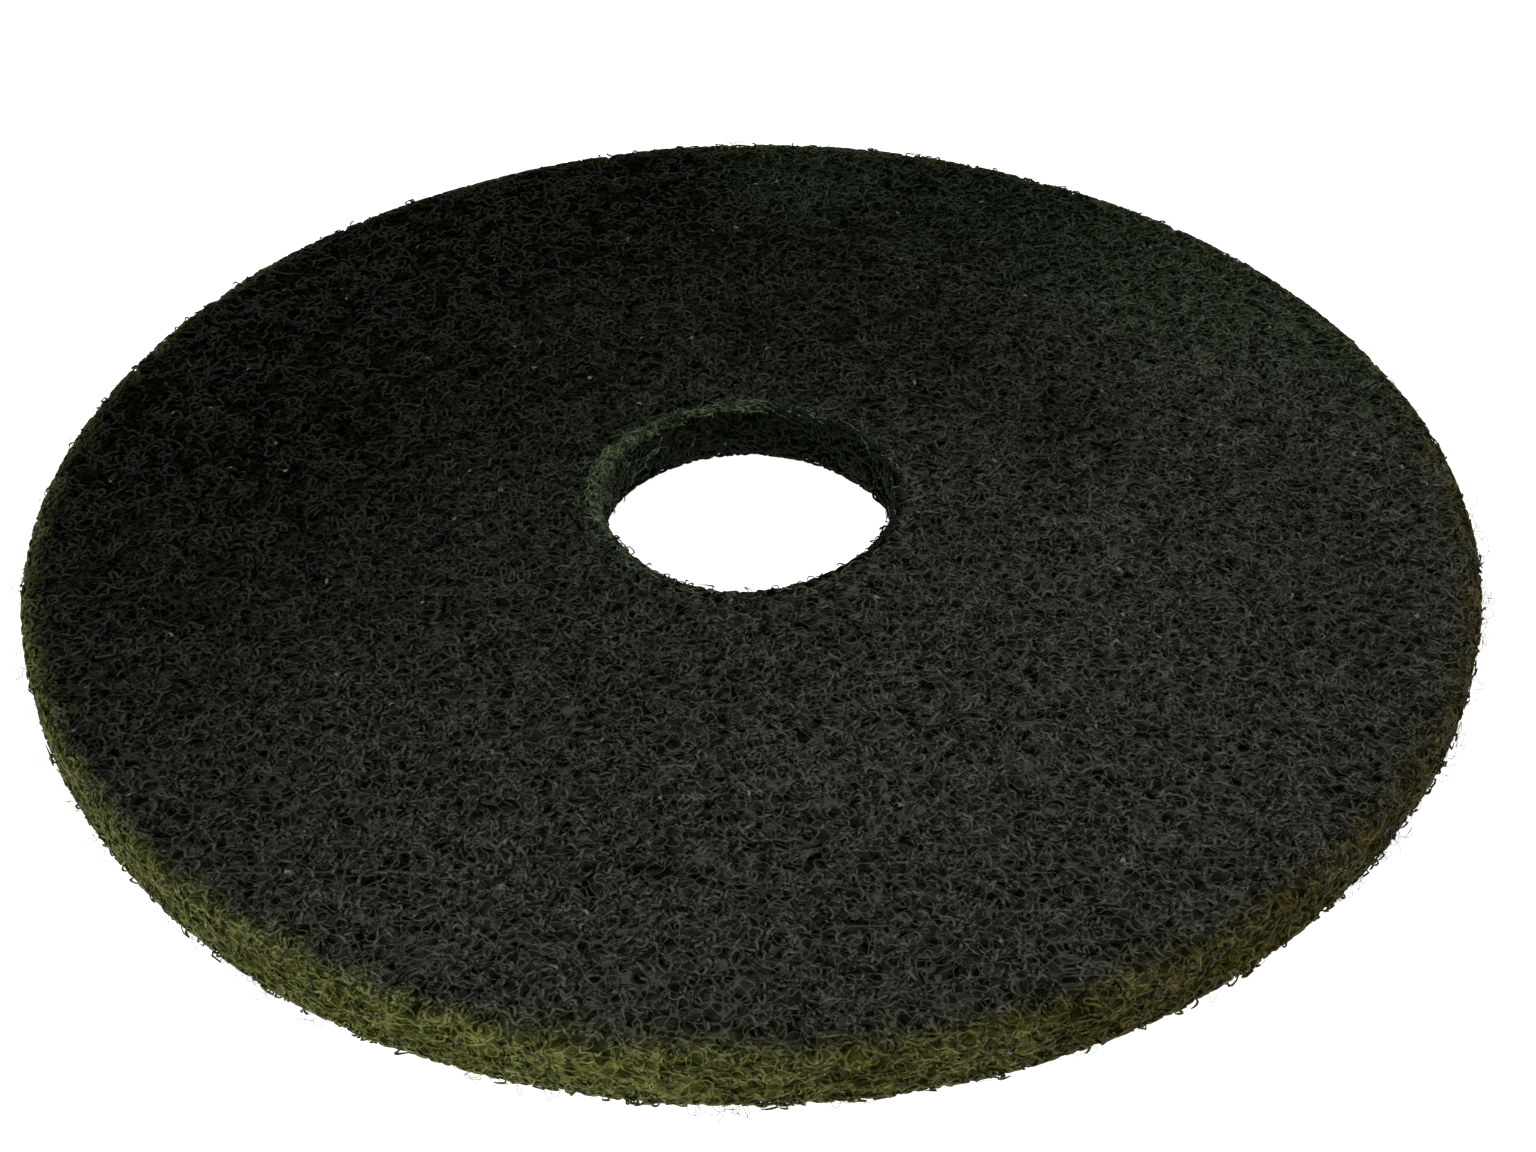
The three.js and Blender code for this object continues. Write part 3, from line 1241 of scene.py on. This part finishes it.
@dataclass
class FloorPad:
    """The whole pad: its core, and the strands of its faces, sides and loose ends."""

    form: PadForm

    def _keep(self, piece: Object) -> None:
        """Makes a piece ride on the pad's body.

        Args:
            piece: The piece.
        """
        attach(piece, BODY)
        triangles = sum(len(polygon.vertices) - 2 for polygon in piece.data.polygons)
        log.info("%s: %d triangles", piece.name, triangles)

    def _keep_strands(self, finish: Material, *pieces: StrandPiece) -> None:
        """Builds some pieces of strands in one finish and keeps them."""
        for piece in pieces:
            self._keep(piece.build(finish))

    def build_core(self) -> None:
        """Builds the dense inside, which takes the place of the CAD solid."""
        finish = BondedWebCore(
            "resin_bonded_nylon_core",
            self.form,
            WebColours(
                # The thin and thick coat colours are partly painted light and painted shade.
                thin_coat_and_painted_light=ShadePair("010101", "484b40"),
                thick_coat_and_painted_shade=ShadePair("000000", "15180e"),
                dye_green=ShadePair("1e1f07", "7a7e46"),
                dye_brown=ShadePair("131104", "5a532d"),
                # The hole's wall colour is painted shade.
                hole_wall_painted_shade=ShadePair("010200", "10160b"),
            ),
        ).build()
        core = WebCore("web_core", self.form).build(finish)
        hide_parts(PAD_NODE)
        self._keep(core)

    def build_faces(self, finish: Material) -> None:
        """Builds three layers of strands on the upper face and one on the underside.

        Args:
            finish: The strands' material.
        """
        layers = (
            ("upper_web_deep", Face.UPPER, 1.25 * MM, 2250),
            ("upper_web_middle", Face.UPPER, 0.95 * MM, 2250),
            ("upper_web_crest", Face.UPPER, 0.65 * MM, 2250),
            ("under_web", Face.UNDER, 0.7 * MM, 600),
        )
        for seed, (name, face, depth, strands) in enumerate(layers, start=101):
            size = StrandSize(depth=depth)
            web = FaceWeb(
                name=name, form=self.form, face=face, size=size, strands=strands, seed=seed
            )
            self._keep_strands(finish, web)

    def build_sides(self, finish: Material) -> None:
        """Builds the strands of the cut side, of the hole's wall and of the hole's worn lip.

        Args:
            finish: The material of the cut side's strands.
        """
        form = self.form
        size = StrandSize(curl=1.8 * MM, width=0.9 * MM, weave=0.4 * MM, depth=0.55 * MM)
        worn_size = StrandSize(
            curl=3 * MM, width=0.6 * MM, length=8.8 * MM, weave=0.3 * MM, depth=0.45 * MM
        )
        rim = SideWeb(
            name="rim_web", form=form, edge=Edge.RIM, slot=OLIVE_SLOT, size=replace(size, curl=2.5 * MM),
            strands=2100, seed=201, band=(-2 * MM, form.side_length(Edge.RIM) + 2 * MM), tilt=0.32,
        )
        wall = SideWeb(
            name="hole_wall_web", form=form, edge=Edge.HOLE, size=size, strands=420, seed=202,
            band=(1 * MM, form.side_length(Edge.HOLE) + 1 * MM),
        )
        lip = SideWeb(
            name="hole_lip_web", form=form, edge=Edge.HOLE, size=worn_size, strands=240, seed=203,
            band=(-1.5 * MM, 3 * MM), tilt=0.3, worn_angle=math.radians(156), crowding=2.2,
        )
        streaks = SideWeb(
            name="hole_worn_web", form=form, edge=Edge.HOLE, size=worn_size, strands=230, seed=204,
            band=(1.5 * MM, 15 * MM), tilt=1.4, worn_angle=math.radians(176), crowding=12,
        )
        # Painted shade: the wall's strands are dark for the shade that falls in the hole.
        wall_painted_shade_colours = PlainColours(ShadePair("030702", "161f0d"))
        lip_colours = PlainColours(ShadePair("232c1d", "5f6f50"))
        self._keep_strands(finish, rim)
        wall_painted_shade_finish = ResinCoatedNylon("hole_wall_painted_shade_strand", form, wall_painted_shade_colours)
        self._keep_strands(wall_painted_shade_finish.build(), wall)
        lip_finish = ResinCoatedNylon("worn_lip_nylon_strand", form, lip_colours)
        self._keep_strands(lip_finish.build(), lip, streaks)

    def build_fuzz(self, finish: Material) -> None:
        """Builds the loose ends: short tufts that roughen the outline, and fine single ends.

        Args:
            finish: The strands' material.
        """
        side = self.form.side_length(Edge.RIM)
        on_rim = partial(Fuzz, form=self.form, edge=Edge.RIM, slot=OLIVE_SLOT)
        in_hole = partial(Fuzz, form=self.form, edge=Edge.HOLE, length=4 * MM)
        edge_tufts = on_rim(
            name="edge_tufts", strands=1100, seed=301, band=(-1 * MM, side),
            length=4 * MM, width=0.65 * MM, stand_off=0.75 * MM,
        )
        hem_tufts = on_rim(
            name="hem_tufts", strands=600, seed=304, band=(side - 8 * MM, side),
            length=4 * MM, width=0.75 * MM, stand_off=0.8 * MM,
        )
        edge_fuzz = on_rim(
            name="edge_fuzz", strands=760, seed=302, band=(0, side),
            length=6.4 * MM, width=0.14 * MM, stand_off=2.2 * MM, tufts=44,
            seen_tufts_degrees=(-3, -7, -13, -18, 172, 178, 184, 190, 200, 216, 268.5),
        )
        hole_fuzz = in_hole(
            name="hole_fuzz", strands=420, seed=303, band=(-1 * MM, 19 * MM),
            width=0.4 * MM, stand_off=0.9 * MM,
        )
        hole_lip_fuzz = in_hole(
            name="hole_lip_fuzz", strands=160, seed=305, band=(-0.5 * MM, 3 * MM),
            width=0.5 * MM, stand_off=1.1 * MM,
        )
        self._keep_strands(finish, edge_tufts, hem_tufts, edge_fuzz, hole_fuzz, hole_lip_fuzz)

    def build(self) -> None:
        """Builds and dresses every piece."""
        strand_finish = ResinCoatedNylon(
            "resin_coated_nylon_strand",
            self.form,
            WebColours(
                # The thin and thick coat colours are partly painted light and painted shade.
                thin_coat_and_painted_light=ShadePair("040503", "515449"),
                thick_coat_and_painted_shade=ShadePair("000100", "1b1e12"),
                dye_green=ShadePair("272a0d", "83884f"),
                dye_brown=ShadePair("191607", "605933"),
                # The hole's wall colour is painted shade.
                hole_wall_painted_shade=ShadePair("030702", "161f0d"),
            ),
        ).build()
        self.build_core()
        self.build_faces(strand_finish)
        self.build_sides(strand_finish)
        self.build_fuzz(strand_finish)


@dataclass(frozen=True)
class SoftLamp:
    """A square lamp that faces one spot."""

    name: str
    place: Triple
    target: Triple
    size: float
    watts: float

    def build(self) -> None:
        """Hangs the lamp."""
        lamp = bpy.data.lights.new(self.name, "AREA")
        lamp.shape = "SQUARE"
        lamp.size = self.size
        lamp.energy = self.watts
        holder = bpy.data.objects.new(self.name, lamp)
        holder.location = self.place
        holder.rotation_mode = "QUATERNION"
        holder.rotation_quaternion = (Vector(self.target) - Vector(self.place)).to_track_quat("-Z", "Y")
        bpy.context.scene.collection.objects.link(holder)


@dataclass(frozen=True)
class Studio:
    """A plain white floor and surround, with one soft lamp at the front left."""

    floor_size: float = 6.0
    floor_glow: float = 0.88
    floor_roughness: float = 0.9
    surround_level: float = 0.5
    white: tuple[float, float, float, float] = (1.0, 1.0, 1.0, 1.0)
    floor_paint: tuple[float, float, float, float] = (0.8, 0.8, 0.8, 1.0)
    key_lamp: SoftLamp = SoftLamp(
        name="key_lamp", place=(-0.9, -1.8, 1.7), target=(0.0, 0.0, 0.0), size=1.2, watts=40.0
    )

    def _white_where_seen(self, tree: NodeTree, seen: Node, unseen: Node) -> Node:
        """Mixes two shaders by whether the camera, a reflection or clear stuff looks at them.

        Args:
            tree: The node tree.
            seen: The shader that is looked at.
            unseen: The shader that only lights.

        Returns:
            The mixed shader.
        """
        path = add_node(tree, "ShaderNodeLightPath").outputs
        inputs = {0: path["Is Camera Ray"], 1: path["Is Glossy Ray"]}
        camera_or_gloss = add_node(tree, "ShaderNodeMath", inputs, operation="ADD")
        inputs = {0: camera_or_gloss, 1: path["Is Transmission Ray"]}
        direct = add_node(tree, "ShaderNodeMath", inputs, operation="ADD", use_clamp=True)
        return add_node(tree, "ShaderNodeMixShader", {0: direct, 1: unseen, 2: seen})

    def build_surround(self) -> None:
        """Sets a world that lights softly and looks white."""
        world = bpy.data.worlds.new("studio_surround")
        world.use_nodes = True
        bpy.context.scene.world = world
        tree = world.node_tree
        tree.nodes.clear()
        lit = add_node(
            tree, "ShaderNodeBackground", {"Color": self.white, "Strength": self.surround_level}
        )
        seen = add_node(tree, "ShaderNodeBackground", {"Color": self.white, "Strength": 1.0})
        surface = self._white_where_seen(tree, seen, lit)
        add_node(tree, "ShaderNodeOutputWorld", {"Surface": surface})

    def build_floor(self) -> None:
        """Lays a matt white floor that keeps the pad's shadow."""
        half = self.floor_size / 2
        corners = np.array([[-half, -half, 0], [half, -half, 0], [half, half, 0], [-half, half, 0]])
        material, tree = new_material("matt_painted_studio_floor")
        inputs = {"Base Color": self.floor_paint, "Roughness": self.floor_roughness}
        paint = add_node(tree, "ShaderNodeBsdfPrincipled", inputs)
        inputs = {"Color": self.white, "Strength": self.floor_glow}
        glow = add_node(tree, "ShaderNodeEmission", inputs)
        both = add_node(tree, "ShaderNodeAddShader", {0: paint, 1: glow})
        surface = self._white_where_seen(tree, both, paint)
        add_node(tree, "ShaderNodeOutputMaterial", {"Surface": surface})
        floor = mesh_piece("studio_floor", corners, np.array([[0, 1, 2, 3]]), material)

    def build(self) -> None:
        """Builds the surround, the floor and the lamp."""
        self.build_surround()
        self.build_floor()
        self.key_lamp.build()


@dataclass(frozen=True)
class PhotoCamera:
    """The camera that took the photo, solved from the two outlines of the pad."""

    picture_width: float = 1536
    focal_pixels: float = 2369.84
    distance: float = 687.558 * MM
    elevation: float = math.radians(38.8048)
    pitch: float = math.radians(39.5532)
    yaw: float = math.radians(0.5009)
    roll: float = math.radians(-0.5713)
    sensor_width: float = 36.0
    nearest_seen: float = 10 * MM
    furthest_seen: float = 50.0

    def build(self) -> None:
        """Makes the camera, aimed and rolled as in the photo."""
        data = bpy.data.cameras.new("photo_camera")
        data.sensor_fit = "HORIZONTAL"
        data.sensor_width = self.sensor_width
        data.lens = self.focal_pixels / self.picture_width * self.sensor_width
        data.clip_start = self.nearest_seen
        data.clip_end = self.furthest_seen
        ahead = math.cos(self.pitch)
        aim = Vector((math.sin(self.yaw) * ahead, math.cos(self.yaw) * ahead, -math.sin(self.pitch)))
        level = aim.cross(Vector((0, 0, 1))).normalized()
        rise = level.cross(aim)
        right = math.cos(self.roll) * level + math.sin(self.roll) * rise
        up = -math.sin(self.roll) * level + math.cos(self.roll) * rise
        back, lift = math.cos(self.elevation), math.sin(self.elevation)
        camera = bpy.data.objects.new("photo_camera", data)
        turn = Matrix((right, up, -aim)).transposed().to_4x4()
        camera.matrix_world = Matrix.Translation(self.distance * Vector((0, -back, lift))) @ turn
        bpy.context.scene.collection.objects.link(camera)
        bpy.context.scene.camera = camera


def main() -> None:
    """Builds the pad, the studio and the camera, and writes how large the pad has become."""
    logging.basicConfig(level=logging.INFO, format="%(name)s %(message)s")
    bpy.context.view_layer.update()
    form = PadForm.from_frame()
    log.info("rim %.1f mm, hole %.1f mm", form.radius(Edge.RIM) / MM, form.radius(Edge.HOLE) / MM)
    FloorPad(form).build()
    Studio().build()
    PhotoCamera().build()
    bpy.context.scene.view_settings.view_transform = "Standard"


if __name__ == "__main__":
    main()
